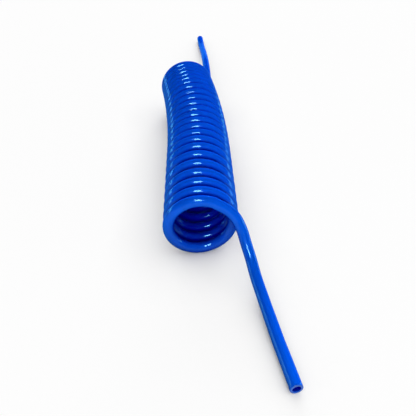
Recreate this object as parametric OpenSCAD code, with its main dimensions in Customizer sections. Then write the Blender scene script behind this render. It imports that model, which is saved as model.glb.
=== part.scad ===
// Coiled air hose: one length of polyurethane tube, heat set into an open coil,
// with a straight tail and a square cut end at the front and at the back.
// The hose lies on a floor at z = 0. +Y runs along the coil from front to back,
// and the origin is at the middle of the hose's footprint.

/* [Tube] */
// Outside diameter, which a push-in fitting grips
tube_d = 8; // [7:0.1:8.3]
// Bore that carries the air
bore_d = 5; // [4:0.1:6]

/* [Coil] */
// Outside diameter of the coil
coil_d = 54.5; // [50:0.5:62]
// Full turns between the first and the last ring of the coil
turn_count = 22; // [8:1:23]
// Gap between the turns that stand a little open
open_gap = 2.7; // [1.2:0.1:6]
// Gap where the coil opens most
wide_gap = 4.4; // [1.2:0.1:8]
// Gap between the closed turns at the back
back_gap = 0.8; // [0.8:0.1:6]
// Lean of each turn about the upright, its right side to the back
turn_lean = 3.6; // [0:0.1:8]
// Distance along the coil at which it begins to bend to the left
bend_from = 98; // [0:1:200]
// Radius of that bend
bend_r = 990; // [900:10:4000]

/* [Tails] */
// Length of each straight, open end
end_len = 22; // [16:1:24]
// Turn of the front end away from straight ahead
front_turn = 9.5; // [5:0.5:14]
// Turn of the rear end away from straight back
rear_turn = 2.5; // [0:0.5:6]

/* [Hidden] */
hose_blue = "royalblue";

// The coil's rings: six sides each, a flat facing outwards, two rings astride the floor
ring_sides = 6;
ring_step = 15;
rings_per_turn = 360 / ring_step;
first_angle = 67.5;
last_angle = 360 * turn_count + 277.5;
ring_last = (last_angle - first_angle) / ring_step;
coil_r = (coil_d - tube_d) / 2;
flat_depth = tube_d / 10;
axis_h = coil_d / 2 - flat_depth;
coil_at = [-8.5, -170.5];

// Gap to the next turn, against the turn's number
gaps = [
    [0, open_gap], [1.5, open_gap], [3.5, wide_gap], [5, wide_gap], [7.5, open_gap],
    [12, open_gap], [15, wide_gap], [16, wide_gap], [18, back_gap], [24, back_gap],
];

// Each tail's route: right, back and up from where the coil lets it go,
// with the height counted from the height at which the tube lies on the floor
tail_sides = 12;
front_route = [
    [7, -1.5, 34.5], [12, -5.5, 26], [15, -12, 18], [18, -20.5, 11],
    [20.5, -32, 5.5], [24, -48.5, 2], [26, -62, 1], [28, -75.5, 0.5],
];
front_tip = [34.5, -112.5, 0];
rear_route = [
    [6.5, 3.5, 5], [11, 9.5, 8], [13, 16.5, 11], [14, 25, 13.5], [13.5, 34, 15],
    [13.5, 43.5, 16], [13.5, 53, 16.5], [13, 66, 15.5], [13, 83, 14], [12.5, 103, 11.5],
    [12, 123, 8.5], [11.5, 143, 5.5], [10.5, 163, 2.5],
];
rear_tip = [8.5, 209, 0];

function unit(v) = v / norm(v);
function square_to(v, along) = unit(v - (v * along) * along);

// Way along the coil's axis at each ring, from the front
function pitch_at(ring) = tube_d + lookup((first_angle + ring * ring_step) / 360, gaps);
travel = [
    for (i = 0, s = 0; i <= ring_last; s = s + pitch_at(i) / rings_per_turn, i = i + 1) s
];

// The axis runs straight and then bends to the left on a wide radius
function heading(s) = max(0, s - bend_from) / bend_r * 180 / PI;
function axis_point(s) = [
    coil_at.x - bend_r * (1 - cos(heading(s))),
    coil_at.y + min(s, bend_from) + bend_r * sin(heading(s)),
    axis_h,
];
function across(s) = [cos(heading(s) + turn_lean), sin(heading(s) + turn_lean), 0];
function outward(angle, s) = cos(angle) * across(s) + sin(angle) * [0, 0, 1];
function on_coil(angle, s) = axis_point(s) + coil_r * outward(angle, s);

// Each end of the coil runs straight for one tube diameter
run_angle = tube_d / coil_r * 180 / PI;
function run_from(i, way) =
    let (
        angle = first_angle + i * ring_step,
        here = on_coil(angle, travel[i]),
        there = on_coil(angle + way * run_angle, travel[i] + way * pitch_at(i) * run_angle / 360)
    )
    here + tube_d * unit(there - here);
front_out = run_from(0, -1);
rear_out = run_from(ring_last, 1);

coil_line = [
    front_out,
    for (i = [0:ring_last]) on_coil(first_angle + i * ring_step, travel[i]),
    rear_out,
];
coil_outward = [
    outward(first_angle - run_angle / 2, 0),
    for (i = [0:ring_last]) outward(first_angle + i * ring_step, travel[i]),
    outward(last_angle + run_angle / 2, travel[ring_last]),
];

// The tails go on from there to their straight ends
function end_way(turn, side) = [sin(turn) * side, -cos(turn) * side, 0];
front_way = end_way(front_turn, 1);
rear_way = end_way(rear_turn, -1);
function place(from, step) = [from.x + step.x, from.y + step.y, tube_d / 2 + step.z];
front_tip_at = place(front_out, front_tip);
rear_tip_at = place(rear_out, rear_tip);
front_line = [
    front_out,
    for (p = front_route) place(front_out, p),
    front_tip_at - end_len * front_way,
];
rear_line = [
    rear_out,
    for (p = rear_route) place(rear_out, p),
    rear_tip_at - end_len * rear_way,
];

// Direction of a line at each of its points, between the two neighbours,
// and as given at its first and last point
function ways(line, first, last) = [
    for (i = [0:len(line) - 1])
        i == 0 ? first
        : i == len(line) - 1 ? last
        : unit(line[i + 1] - line[i - 1])
];
coil_ways = ways(coil_line, unit(coil_line[1] - front_out), unit(rear_out - coil_line[ring_last + 1]));
front_ways = ways(front_line, -coil_ways[0], front_way);
rear_ways = ways(rear_line, coil_ways[len(coil_ways) - 1], rear_way);

// A side direction carried along the line without twist
function carried(line_ways, first) = [
    for (i = 0, v = square_to(first, line_ways[0]); i < len(line_ways);
        i = i + 1, v = i < len(line_ways) ? square_to(v, line_ways[i]) : v) v
];

// One ring of corners round a point, and no corner under the floor
function ring(at, along, side, sides, shift) =
    let (up = cross(along, side))
    [
        for (k = [0:sides - 1])
            let (
                a = shift + 360 * k / sides,
                p = at + tube_d / 2 * (cos(a) * side + sin(a) * up)
            )
            [p.x, p.y, max(0, p.z)]
    ];

coil_rings = [
    for (i = [0:len(coil_line) - 1])
        ring(coil_line[i], coil_ways[i], square_to(coil_outward[i], coil_ways[i]), ring_sides, 30)
];
function tail_rings(line, line_ways) =
    let (side = carried(line_ways, [0, 0, 1]))
    [
        for (i = [0:len(line) - 1])
            ring(line[i], line_ways[i], side[i], tail_sides, 15)
    ];

// Least gap between the round tube and its next turn, from each ring's middle
// to the line through the middles of the rings one turn on
function share_along(p, a, b) = min(1, max(0, (p - a) * (b - a) / ((b - a) * (b - a))));
function gap_to(p, a, b) = norm(p - a - share_along(p, a, b) * (b - a)) - tube_d;
last_pair = len(coil_line) - 3 - rings_per_turn;
self_gap = min([
    for (i = [0:last_pair], j = [-2:1])
        gap_to(coil_line[i], coil_line[i + rings_per_turn + j], coil_line[i + rings_per_turn + j + 1])
]);

function total(values, i = 0) = i == len(values) ? 0 : values[i] + total(values, i + 1);
function line_length(line) = total([for (i = [1:len(line) - 1]) norm(line[i] - line[i - 1])]);
echo(least_gap_between_turns_mm = self_gap);
echo(coil_tube_mm = line_length(coil_line));
echo(front_tail_mm = line_length(front_line) + end_len, rear_tail_mm = line_length(rear_line) + end_len);
echo(front_tip_at = front_tip_at, rear_tip_at = rear_tip_at);

// A tube skinned over a list of rings in triangles, with a flat face at each end
module skin(rings) {
    sides = len(rings[0]);
    last = len(rings) - 1;
    polyhedron(
        points = [for (r = rings) each r],
        faces = [
            for (k = [1:sides - 2]) [0, k, k + 1],
            for (i = [0:last - 1], k = [0:sides - 1])
                let (a = i * sides + k, b = i * sides + (k + 1) % sides)
                each [[a, a + sides, b], [b, a + sides, b + sides]],
            for (k = [1:sides - 2]) [last * sides, last * sides + k + 1, last * sides + k],
        ]
    );
}

// The straight open end of the tube, from the tail to the square cut
module tube_end(tip, way) {
    color(hose_blue)
    translate(tip - end_len * way)
    rotate([0, 90, atan2(way.y, way.x)])
    difference() {
        cylinder(h = end_len, d = tube_d, $fn = 64);
        translate([0, 0, -1]) cylinder(h = end_len + 2, d = bore_d, $fn = 64);
    }
}

module coil() {
    color(hose_blue) skin(coil_rings);
}

module front_tail() {
    color(hose_blue) skin(tail_rings(front_line, front_ways));
}

module rear_tail() {
    color(hose_blue) skin(tail_rings(rear_line, rear_ways));
}

module front_end() {
    tube_end(front_tip_at, front_way);
}

module rear_end() {
    tube_end(rear_tip_at, rear_way);
}

front_end();
front_tail();
coil();
rear_tail();
rear_end();
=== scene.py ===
import math
import bpy
from mathutils import Matrix, Vector


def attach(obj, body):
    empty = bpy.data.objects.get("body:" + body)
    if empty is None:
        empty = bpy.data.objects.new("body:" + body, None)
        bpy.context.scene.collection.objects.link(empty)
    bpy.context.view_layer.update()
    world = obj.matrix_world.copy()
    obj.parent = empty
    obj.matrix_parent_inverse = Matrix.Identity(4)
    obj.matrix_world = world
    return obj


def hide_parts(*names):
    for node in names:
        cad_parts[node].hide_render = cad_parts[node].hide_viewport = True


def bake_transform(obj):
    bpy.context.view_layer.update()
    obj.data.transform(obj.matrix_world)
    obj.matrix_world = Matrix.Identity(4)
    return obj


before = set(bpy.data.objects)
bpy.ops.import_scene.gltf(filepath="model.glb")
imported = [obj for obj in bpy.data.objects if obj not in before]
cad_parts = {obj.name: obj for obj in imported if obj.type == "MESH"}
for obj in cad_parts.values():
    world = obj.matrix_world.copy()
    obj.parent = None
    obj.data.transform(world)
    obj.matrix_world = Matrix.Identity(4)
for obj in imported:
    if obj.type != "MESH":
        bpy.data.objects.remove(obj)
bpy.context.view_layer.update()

print("frame loaded")


def linear(hexColour):  # sRGB hex to the linear colour that sockets take
    parts = [int(hexColour[i:i + 2], 16) / 255 for i in (1, 3, 5)]
    return [c / 12.92 if c < 0.04045 else ((c + 0.055) / 1.055) ** 2.4 for c in parts] + [1]


def deselect():
    bpy.ops.object.select_all(action="DESELECT")


# camera, in front of the hose and looking down along it
cameraView = {
    "place": (-0.01349, -0.4368, 0.25125),
    "lens": 43.05,  # mm
    "sensor": 36,  # mm
    "nearest": 0.01,  # metres, anything closer isn't drawn
    "turn": 2.063,  # degrees to the right of straight ahead
    "down": 37.746,
    "tilt": 0.269,
}
deselect()
bpy.ops.object.camera_add()
camera = bpy.context.object
camera.name = "camera"
camera.data.lens = cameraView["lens"]
camera.data.sensor_width = cameraView["sensor"]
camera.data.clip_start = cameraView["nearest"]
camera.matrix_world = (
    Matrix.Translation(cameraView["place"])
    @ Matrix.Rotation(math.radians(-cameraView["turn"]), 4, "Z")
    @ Matrix.Rotation(math.radians(90 - cameraView["down"]), 4, "X")
    @ Matrix.Rotation(math.radians(cameraView["tilt"]), 4, "Z")
)
bpy.context.scene.camera = camera
print("camera set")


# the hose's route, worked out as the real one is wound: a straight tail, a coil, a straight tail
tube = {
    "outside": 0.008,
    "bore": 0.005,
    "sides": 40,
    "straightEnd": 0.022,
    "boreDepth": 0.026,  # how far the open bore goes in from each cut
    "cutRound": 0.00022,  # rounding left on the outside edge of the cut
    "boreFlare": 0.00012,  # how much wider the bore is at the cut
    "flareDepth": 0.0002,
}
coil = {
    "outside": 0.0545,
    "firstAngle": 67.5,  # degrees from the right side, over the top
    "lastAngle": 360 * 22 + 277.5,
    "step": 5,
    "start": (-0.0085, -0.1705),
    "lean": 3.6,  # degrees, the right side of each turn stands to the back
    "bendFrom": 0.098,
    "bendRadius": 0.990,
    "gaps": [  # turn number, gap to the next turn in mm
        (0, 2.7), (1.5, 2.7), (3.5, 4.4), (5, 4.4), (7.5, 2.7),
        (12, 2.7), (15, 4.4), (16, 4.4), (18, 0.8), (24, 0.8),
    ],
    "easeOver": 0.11,  # metres of tube at each end that open more slowly, three quarters of a turn
}
frontTail = {  # right, back and up in mm from where the coil lets it go
    "route": [
        (7, -1.5, 34.5), (12, -5.5, 26), (15, -12, 18), (18, -20.5, 11),
        (20.5, -32, 5.5), (24, -48.5, 2), (26, -62, 1), (28, -75.5, 0.5),
    ],
    "tip": (34.5, -112.5, 0),
    "turn": 9.5,
    "side": 1,
}
rearTail = {
    "route": [
        (6.5, 3.5, 5), (11, 9.5, 8), (13, 16.5, 11), (14, 25, 13.5), (13.5, 34, 15),
        (13.5, 43.5, 16), (13.5, 53, 16.5), (13, 66, 15.5), (13, 83, 14), (12.5, 103, 11.5),
        (12, 123, 8.5), (11.5, 143, 5.5), (10.5, 163, 2.5),
    ],
    "tip": (8.5, 209, 0),
    "turn": 2.5,
    "side": -1,
}
tailPoints = {
    "spacing": 0.002,  # metres
    "evenOver": 10,  # points to each side that even out a point
    "evenFrom": 18,  # points next to the coil that stay as they are
    "inStraightEnd": 11,
}
radius = tube["outside"] / 2
coilRadius = coil["outside"] / 2 - radius
up = Vector((0, 0, 1))


def gapAt(angle):  # gap to the next turn, in metres
    n = angle / 360
    table = coil["gaps"]
    for (n0, g0), (n1, g1) in zip(table, table[1:]):
        if n <= n1:
            return (g0 + (g1 - g0) * (n - n0) / (n1 - n0)) / 1000
    return table[-1][1] / 1000


def onCoil(angle, along):  # a point of the tube's middle line, and the way out from the coil
    bend = max(0, along - coil["bendFrom"]) / coil["bendRadius"]
    x = coil["start"][0] - coil["bendRadius"] * (1 - math.cos(bend))
    y = coil["start"][1] + min(along, coil["bendFrom"]) + coil["bendRadius"] * math.sin(bend)
    lean = bend + math.radians(coil["lean"])
    out = math.cos(math.radians(angle)) * Vector((math.cos(lean), math.sin(lean), 0))
    out += math.sin(math.radians(angle)) * up
    return Vector((x, y, coil["outside"] / 2)) + coilRadius * out, out


def coilLine():  # the coil's middle line, with a straight run of one diameter at each end
    count = round((coil["lastAngle"] - coil["firstAngle"]) / coil["step"])
    line, outs, along = [], [], 0
    for i in range(count + 1):
        angle = coil["firstAngle"] + i * coil["step"]
        point, out = onCoil(angle, along)
        line.append(point)
        outs.append(out)
        last = (angle, along)
        along += (tube["outside"] + gapAt(angle)) * coil["step"] / 360
    runAngle = math.degrees(tube["outside"] / coilRadius)
    ends = []
    for angle, along, sign in ((coil["firstAngle"], 0, -1), (*last, 1)):
        rise = (tube["outside"] + gapAt(angle)) * runAngle / 360
        here = onCoil(angle, along)[0]
        there = onCoil(angle + sign * runAngle, along + sign * rise)[0]
        ends.append([here + (there - here).normalized() * radius * k for k in (1, 2)])
    line = ends[0][::-1] + line + ends[1]
    outs = [outs[0]] * 2 + outs + [outs[-1]] * 2
    return line, outs


def tailLine(start, way, values):  # a smooth line from the coil to the cut end
    def place(step):
        return Vector((start.x + step[0] / 1000, start.y + step[1] / 1000, radius + step[2] / 1000))
    turn = math.radians(values["turn"])
    endWay = Vector((math.sin(turn) * values["side"], -math.cos(turn) * values["side"], 0))
    tip = place(values["tip"])
    points = [start] + [place(p) for p in values["route"]] + [tip - endWay * tube["straightEnd"]]
    slopes = [way]
    for a, b, c in zip(points, points[1:], points[2:]):
        back, ahead = (b - a).length, (c - b).length
        slopes.append(((b - a) / back * ahead + (c - b) / ahead * back) / (back + ahead))
    slopes.append(endWay)
    line = [start]
    for a, b, wayA, wayB in zip(points, points[1:], slopes, slopes[1:]):
        span = (b - a).length
        steps = max(2, round(span / tailPoints["spacing"]))
        for k in range(1, steps + 1):
            t = k / steps
            line.append(
                a * (2 * t**3 - 3 * t**2 + 1) + b * (3 * t**2 - 2 * t**3)
                + wayA * span * (t**3 - 2 * t**2 + t) + wayB * span * (t**3 - t**2)
            )
    even = []  # the route is in whole half millimetres, so the line is evened out sideways
    for i, p in enumerate(line):
        reach = min(tailPoints["evenOver"], max(0, i - tailPoints["evenFrom"]), len(line) - 1 - i)
        near = line[i - reach:i + reach + 1]
        even.append(Vector((sum(q.x for q in near) / len(near), p.y, p.z)))
    steps = tailPoints["inStraightEnd"]
    return even + [even[-1] + endWay * tube["straightEnd"] * k / steps for k in range(1, steps + 1)]


coilPath, coilOuts = coilLine()
frontPath = tailLine(coilPath[0], (coilPath[0] - coilPath[1]).normalized(), frontTail)
rearPath = tailLine(coilPath[-1], (coilPath[-1] - coilPath[-2]).normalized(), rearTail)
wholePath = frontPath[:0:-1] + coilPath + rearPath[1:]
coilFirst = len(frontPath) - 1
coilLast = coilFirst + len(coilPath) - 1
wholeLast = len(wholePath) - 1


def waysOf(line):
    ways = [(b - a).normalized() for a, b in zip(line, line[2:])]
    return [(line[1] - line[0]).normalized()] + ways + [(line[-1] - line[-2]).normalized()]


def squareTo(v, way):
    return (v - way * v.dot(way)).normalized()


wholeWays = waysOf(wholePath)
wholeSides = [None] * len(wholePath)  # the way to the first corner of each ring of the tube
for i in range(coilFirst, coilLast + 1):
    wholeSides[i] = squareTo(coilOuts[i - coilFirst], wholeWays[i])
for i in range(coilFirst - 1, -1, -1):
    wholeSides[i] = squareTo(wholeSides[i + 1], wholeWays[i])
for i in range(coilLast + 1, wholeLast + 1):
    wholeSides[i] = squareTo(wholeSides[i - 1], wholeWays[i])
lengths = [0]
for a, b in zip(wholePath, wholePath[1:]):
    lengths.append(lengths[-1] + (b - a).length)
print("route of", round(lengths[-1], 3), "m")


def openEnd(i, inwards):  # rings from the bore's closed end out to the cut face
    bore = tube["bore"] / 2
    return [
        (i, inwards * tube["boreDepth"], bore),
        (i, inwards * tube["flareDepth"], bore),
        (i, 0, bore + tube["boreFlare"]),
        (i, 0, radius - tube["cutRound"]),
        (i, inwards * tube["cutRound"], radius),
    ]


def tubePiece(name, first, last, openFirst, openLast):  # the tube between two points of the route
    sides = tube["sides"]
    rows = [(i, 0, radius) for i in range(first, last + 1)]  # route point, shift from it, radius
    if openFirst:
        rows[:1] = openEnd(first, 1)
    if openLast:
        rows[-1:] = openEnd(last, -1)[::-1]
    verts, along = [], []
    for i, shift, r in rows:
        middle = wholePath[i] + wholeWays[i] * shift
        other = wholeWays[i].cross(wholeSides[i])
        for k in range(sides):
            a = 2 * math.pi * k / sides
            verts.append(middle + r * (math.cos(a) * wholeSides[i] + math.sin(a) * other))
        along.append(lengths[i] + shift)
    faces, uvs = [], []
    lastRow = len(rows) - 1
    for n in range(lastRow):
        for k in range(sides):
            a, b = n * sides + k, n * sides + (k + 1) % sides
            faces.append((a, b, b + sides, a + sides))
            u0, u1 = k / sides, (k + 1) / sides
            uvs += [(u0, along[n]), (u1, along[n]), (u1, along[n + 1]), (u0, along[n + 1])]
    faces.append(tuple(range(sides))[::-1])
    faces.append(tuple(range(lastRow * sides, (lastRow + 1) * sides)))
    uvs += [(0.5, along[0])] * sides + [(0.5, along[-1])] * sides
    mesh = bpy.data.meshes.new(name)
    mesh.from_pydata(verts, [], faces)
    layer = mesh.uv_layers.new(name="alongTube")
    for loop, uv in zip(layer.data, uvs):
        loop.uv = uv
    knifeRows = ([2, 3] if openFirst else []) + ([lastRow - 4, lastRow - 3] if openLast else [])
    for n in knifeRows:  # the cut face and its rounded edge
        for face in mesh.polygons[n * sides:(n + 1) * sides]:
            face.material_index = 1
    mesh.validate()
    piece = bpy.data.objects.new(name, mesh)
    bpy.context.collection.objects.link(piece)
    for edge in mesh.edges:  # the closed ends don't bend the shading of the wall beside them
        rings = {v // sides for v in edge.vertices}
        edge.use_edge_sharp = len(rings) == 1 and rings <= {0, lastRow}
    return piece


def addNode(tree, kind, settings=None, links=None):  # one shader node, its settings, its links
    node = tree.nodes.new(kind)
    for key, value in (settings or {}).items():
        if isinstance(key, str) and hasattr(node, key):
            setattr(node, key, value)
        else:
            node.inputs[key].default_value = value
    for key, source in (links or {}).items():
        tree.links.new(source, node.inputs[key])
    return node


# extruded polyurethane, dyed through: a clear gloss with faint die lines along the tube. Light that
# comes straight back is bright blue. In the grooves and inside the coil the colour is painted dark
# blue where other turns are near: painted shade. The reflections on it are tinted blue as well.
tubeFinish = {
    "ior": 1.5,
    "specular": 0.5,
    "roughness": 0.09,
    "gloss": "#90e4ff",  # tint of the reflections
    "glossWeight": 1.0,
    "glossIor": 1.01,  # hardly reflects by itself, it is there for the tint
    "blue": "#0072ff",
    "deepBlue": "#006afa",
    "wave": 0.035,  # metres between the slow changes of colour from the puller
    "wavesRound": 3,  # such changes round the tube
    "waveDetail": 3.0,
    # dark blue painted in as shade where other turns are near
    "paintedShadeBlue": "#0000a0",
    "reach": 0.06,  # metres within which a neighbouring turn darkens the colour, as painted shade
    "paintedShadeFullUpTo": 0.38,  # openness up to which the painted shade is full
    "paintedShadeNoneFrom": 0.85,  # and from which there is no painted shade
    "dieLine": 0.0004,  # metres between the lines that the extruder's die draws along the tube
    "lineChanges": 6,  # how often a line changes in each metre of tube
    "lineDetail": 2.0,
    "lineStrength": 0.01,
    "lineDepth": 0.0002,
}


def polyurethane():
    look = tubeFinish
    material = bpy.data.materials.new("extrudedPolyurethane")
    material.use_nodes = True
    tree = material.node_tree
    shader = tree.nodes["Principled BSDF"]
    shader.inputs["IOR"].default_value = look["ior"]
    shader.inputs["Specular IOR Level"].default_value = look["specular"]
    shader.inputs["Roughness"].default_value = look["roughness"]
    shader.inputs["Coat Weight"].default_value = look["glossWeight"]
    shader.inputs["Coat IOR"].default_value = look["glossIor"]
    shader.inputs["Coat Roughness"].default_value = look["roughness"]
    shader.inputs["Coat Tint"].default_value = linear(look["gloss"])

    # colour: slow changes along the tube, and painted shade, dark blue where other turns are near
    uv = addNode(tree, "ShaderNodeUVMap", {"uv_map": "alongTube"})
    slowPlace = addNode(tree, "ShaderNodeMapping", {
        "Scale": (look["wavesRound"], 1 / look["wave"], 1),
    }, {"Vector": uv.outputs["UV"]})
    slow = addNode(tree, "ShaderNodeTexNoise", {
        "Scale": 1.0, "Detail": look["waveDetail"],
    }, {"Vector": slowPlace.outputs["Vector"]})
    dyed = addNode(tree, "ShaderNodeMix", {
        "data_type": "RGBA", 6: linear(look["blue"]), 7: linear(look["deepBlue"]),
    }, {"Factor": slow.outputs["Fac"]})
    openness = addNode(tree, "ShaderNodeAmbientOcclusion", {
        "samples": 8, "Distance": look["reach"],
    })
    lit = addNode(tree, "ShaderNodeMapRange", {
        "From Min": look["paintedShadeFullUpTo"], "From Max": look["paintedShadeNoneFrom"],
    }, {"Value": openness.outputs["AO"]})
    # painted shade: the dark blue is mixed in where other turns are near
    shadedColour = addNode(tree, "ShaderNodeMix", {
        "data_type": "RGBA", 6: linear(look["paintedShadeBlue"]),
    }, {"Factor": lit.outputs["Result"], 7: dyed.outputs[2]})
    tree.links.new(shadedColour.outputs[2], shader.inputs["Base Color"])

    # die lines: noise drawn out along the tube, as many as its way round has room for
    linePlace = addNode(tree, "ShaderNodeMapping", {
        "Scale": (math.pi * tube["outside"] / look["dieLine"], look["lineChanges"], 1),
    }, {"Vector": uv.outputs["UV"]})
    dieLines = addNode(tree, "ShaderNodeTexNoise", {
        "Scale": 1.0, "Detail": look["lineDetail"],
    }, {"Vector": linePlace.outputs["Vector"]})
    bump = addNode(tree, "ShaderNodeBump", {
        "Strength": look["lineStrength"], "Distance": look["lineDepth"],
    }, {"Height": dieLines.outputs["Fac"]})
    tree.links.new(bump.outputs["Normal"], shader.inputs["Normal"])
    return material


# the same polyurethane where the blade went through: paler and duller, with fine straight marks
# from the knife
cutFinish = {
    "ior": 1.5,
    "roughness": 0.38,
    "blue": "#2474ea",
    "markBlue": "#1258c8",
    "knifeMark": 0.0004,  # metres, twice as coarse as a real blade leaves so that it shows
    "markLength": 0.004,
    "markDetail": 2.0,
    "markStrength": 0.3,
    "markDepth": 0.00005,
}


def cutPolyurethane():
    look = cutFinish
    material = bpy.data.materials.new("knifeCutPolyurethane")
    material.use_nodes = True
    tree = material.node_tree
    shader = tree.nodes["Principled BSDF"]
    shader.inputs["IOR"].default_value = look["ior"]
    shader.inputs["Roughness"].default_value = look["roughness"]
    place = addNode(tree, "ShaderNodeTexCoord")
    drawn = addNode(tree, "ShaderNodeMapping", {
        "Scale": (1 / look["markLength"], 1 / look["markLength"], 1 / look["knifeMark"]),
    }, {"Vector": place.outputs["Object"]})
    marks = addNode(tree, "ShaderNodeTexNoise", {
        "Scale": 1.0, "Detail": look["markDetail"],
    }, {"Vector": drawn.outputs["Vector"]})
    colour = addNode(tree, "ShaderNodeMix", {
        "data_type": "RGBA", 6: linear(look["markBlue"]), 7: linear(look["blue"]),
    }, {"Factor": marks.outputs["Fac"]})
    tree.links.new(colour.outputs[2], shader.inputs["Base Color"])
    bump = addNode(tree, "ShaderNodeBump", {
        "Strength": look["markStrength"], "Distance": look["markDepth"],
    }, {"Height": marks.outputs["Fac"]})
    tree.links.new(bump.outputs["Normal"], shader.inputs["Normal"])
    return material


tubeMaterial = polyurethane()
cutMaterial = cutPolyurethane()
pieces = []
for name, first, last, openFirst, openLast in (
    ("frontTail", 0, coilFirst, True, False),
    ("coil", coilFirst, coilLast, False, False),
    ("rearTail", coilLast, wholeLast, False, True),
):
    piece = tubePiece(name + "Tube", first, last, openFirst, openLast)
    piece.data.materials.append(tubeMaterial)
    piece.data.materials.append(cutMaterial)
    for face in piece.data.polygons:
        face.use_smooth = True
    pieces.append(piece)
frontPiece, coilPiece, rearPiece = pieces
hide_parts("front_tail", "front_end")
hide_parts("coil")
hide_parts("rear_tail", "rear_end")
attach(frontPiece, "front")
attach(rearPiece, "rear")
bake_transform(coilPiece)

# a share for each ring of the coil by its place along the tube, with which the turns would open
# evenly and the tube stay nearly round; it starts and ends slowly, so the joins would bend no more
# than at rest
easeOver = coil["easeOver"]
slope = 1 / (lengths[coilLast] - lengths[coilFirst] - easeOver)
shares = []
for i in range(coilFirst, coilLast + 1):
    fromFront, fromRear = lengths[i] - lengths[coilFirst], lengths[coilLast] - lengths[i]
    if fromFront < easeOver:
        share = slope * fromFront ** 2 / 2 / easeOver
    elif fromRear < easeOver:
        share = 1 - slope * fromRear ** 2 / 2 / easeOver
    else:
        share = slope * (fromFront - easeOver / 2)
    shares += [share] * tube["sides"]
print("tube made")


# floor, an even white that dims a little round the hose
floorFinish = {
    "size": 12,  # metres
    "roughness": 0.9,
    "specular": 0.1,
    "shown": "#f8f8f8",  # paint where it is looked at
    "bounced": "#a0a0a0",  # paint for the light that it throws back at the hose
    "glow": "#ffffff",
    "glowStrength": 1.0,
    "glowShare": 0.92,  # of the glow, in the open
    "shadeReach": 0.05,  # metres within which the hose dims the glow
    "darkAt": 0.3,  # openness up to which there is none
}
deselect()
bpy.ops.mesh.primitive_plane_add(size=floorFinish["size"])
floor = bpy.context.object
floor.name = "floor"
floorMaterial = bpy.data.materials.new("paintedFloor")
floorMaterial.use_nodes = True
tree = floorMaterial.node_tree
shader = tree.nodes["Principled BSDF"]
shader.inputs["Roughness"].default_value = floorFinish["roughness"]
shader.inputs["Specular IOR Level"].default_value = floorFinish["specular"]
rays = addNode(tree, "ShaderNodeLightPath")
viewed = addNode(tree, "ShaderNodeMath", {
    "operation": "MAXIMUM",
}, {0: rays.outputs["Is Camera Ray"], 1: rays.outputs["Is Glossy Ray"]})
seen = addNode(tree, "ShaderNodeMath", {  # 1 where it is looked at, 0 where light only bounces
    "operation": "MAXIMUM",
}, {0: viewed.outputs[0], 1: rays.outputs["Is Transmission Ray"]})
paint = addNode(tree, "ShaderNodeMix", {
    "data_type": "RGBA", 6: linear(floorFinish["bounced"]), 7: linear(floorFinish["shown"]),
}, {"Factor": seen.outputs[0]})
tree.links.new(paint.outputs[2], shader.inputs["Base Color"])
glow = addNode(tree, "ShaderNodeEmission", {
    "Color": linear(floorFinish["glow"]), "Strength": floorFinish["glowStrength"],
})
openFloor = addNode(tree, "ShaderNodeAmbientOcclusion", {
    "samples": 8, "Distance": floorFinish["shadeReach"],
})
away = addNode(tree, "ShaderNodeMapRange", {
    "From Min": floorFinish["darkAt"], "From Max": 1.0, "To Max": floorFinish["glowShare"],
}, {"Value": openFloor.outputs["AO"]})
glowing = addNode(tree, "ShaderNodeMath", {
    "operation": "MULTIPLY",
}, {0: seen.outputs[0], 1: away.outputs["Result"]})
mix = addNode(tree, "ShaderNodeMixShader", None, {
    "Fac": glowing.outputs[0], 1: shader.outputs[0], 2: glow.outputs[0],
})
tree.links.new(mix.outputs[0], tree.nodes["Material Output"].inputs["Surface"])
floor.data.materials.append(floorMaterial)

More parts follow.
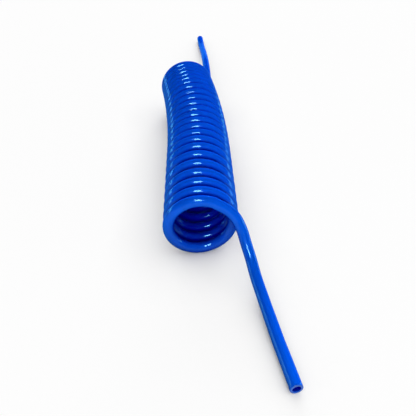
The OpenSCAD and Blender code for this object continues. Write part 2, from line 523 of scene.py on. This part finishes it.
# soft lamps that only light: a big one low behind, one in front and one at the right. The ones that
# only show as reflections are a bright one above the camera and a long strip low at each side.
lamps = {  # degrees round and up, metres away, metres wide and deep, watts, what it does, spin
    "backLight": (4, 19, 4.5, 3.6, 1.8, 320, "lights", 0),
    "frontLight": (-176, 26, 1.6, 1.2, 0.7, 13, "lights", 0),
    "keyLight": (-170, 50, 1.5, 0.46, 0.5, 20, "reflects", 15),
    "rightStrip": (85, 5, 1.2, 1.0, 0.2, 3.0, "reflects", 0),
    "leftStrip": (-75, 5, 1.2, 1.0, 0.2, 3.2, "reflects", 0),
    "sideLight": (105, 18, 1.2, 0.8, 0.5, 3, "lights", 0),
}
lampTarget = Vector((-0.01, -0.06, 0.03))
for name, (azimuth, elevation, distance, wide, deep, watts, does, spin) in lamps.items():
    az, el = math.radians(azimuth), math.radians(elevation)
    way = Vector((math.sin(az) * math.cos(el), math.cos(az) * math.cos(el), math.sin(el)))
    facing = way.to_track_quat("Z", "Y").to_matrix() @ Matrix.Rotation(math.radians(spin), 3, "Z")
    deselect()
    bpy.ops.object.light_add(type="AREA", location=lampTarget + way * distance)
    lamp = bpy.context.object
    lamp.name = name
    lamp.rotation_euler = facing.to_euler()
    lamp.data.shape = "RECTANGLE"
    lamp.data.size = wide
    lamp.data.size_y = deep
    lamp.data.energy = watts
    lamp.visible_diffuse = does == "lights"
    lamp.visible_glossy = does == "reflects"

# the room: it lights the hose with an even grey and is near white behind it. Reflections show it
# light near the floor and grey above.
room = {
    "light": "#595959",
    "behind": "#f9f9f9",
    "low": "#f9f9f9",
    "high": "#505050",
    "lowUpTo": 0.03,  # 0 at the horizon, 1 overhead
    "highFrom": 0.15,
}
world = bpy.data.worlds.new("studio")
bpy.context.scene.world = world
world.use_nodes = True
tree = world.node_tree
where = addNode(tree, "ShaderNodeTexCoord")
split = addNode(tree, "ShaderNodeSeparateXYZ", None, {"Vector": where.outputs["Generated"]})
ramp = addNode(tree, "ShaderNodeValToRGB", None, {"Fac": split.outputs["Z"]})
low, high = ramp.color_ramp.elements
low.position = room["lowUpTo"]
low.color = linear(room["low"])
high.position = room["highFrom"]
high.color = linear(room["high"])
rays = addNode(tree, "ShaderNodeLightPath")
mirrored = addNode(tree, "ShaderNodeMath", {
    "operation": "MAXIMUM",
}, {0: rays.outputs["Is Glossy Ray"], 1: rays.outputs["Is Transmission Ray"]})
around = addNode(tree, "ShaderNodeMix", {
    "data_type": "RGBA", 6: linear(room["light"]),
}, {"Factor": mirrored.outputs[0], 7: ramp.outputs["Color"]})
sky = addNode(tree, "ShaderNodeMix", {
    "data_type": "RGBA", 7: linear(room["behind"]),
}, {"Factor": rays.outputs["Is Camera Ray"], 6: around.outputs[2]})
tree.links.new(sky.outputs[2], tree.nodes["Background"].inputs["Color"])
bpy.context.scene.view_settings.view_transform = "Standard"
print("lights and floor set")
